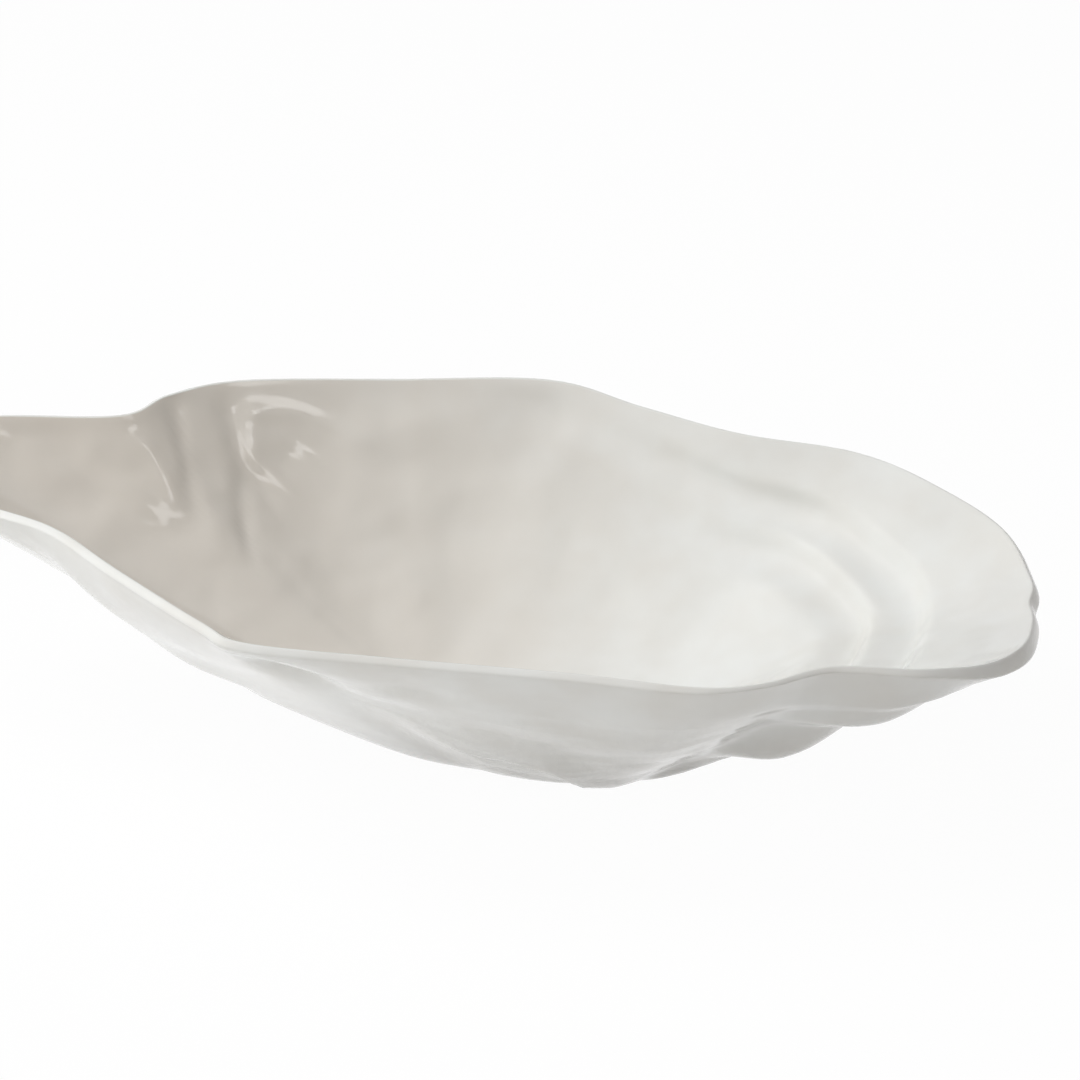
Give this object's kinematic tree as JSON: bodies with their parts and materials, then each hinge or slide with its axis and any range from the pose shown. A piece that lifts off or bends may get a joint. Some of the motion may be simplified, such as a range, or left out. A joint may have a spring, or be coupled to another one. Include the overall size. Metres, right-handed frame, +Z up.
{
  "type": "serving bowl",
  "caption": "Open oyster-shell serving bowl with a deep basin, a broad stepped lip, a narrow channelled beak, a rolled rim and a flat padded foot.",
  "frame": {"origin": "centre of the bowl's box in plan, at table level under the foot pads", "axes": "+X towards the broad lip, -X towards the beak, +Z up out of the bowl, +Y to the side with the higher, wavier rim"},
  "size_m": [0.3938, 0.2234, 0.0902],
  "materials": {
    "glaze": "high gloss off-white glaze",
    "pad": "milky silicone"
  },
  "bodies": {
    "root": {"bowl_shell": "glaze", "foot_pad_lip_far": "pad", "foot_pad_lip_near": "pad", "foot_pad_beak_far": "pad", "foot_pad_beak_near": "pad"}
  },
  "joints": []
}
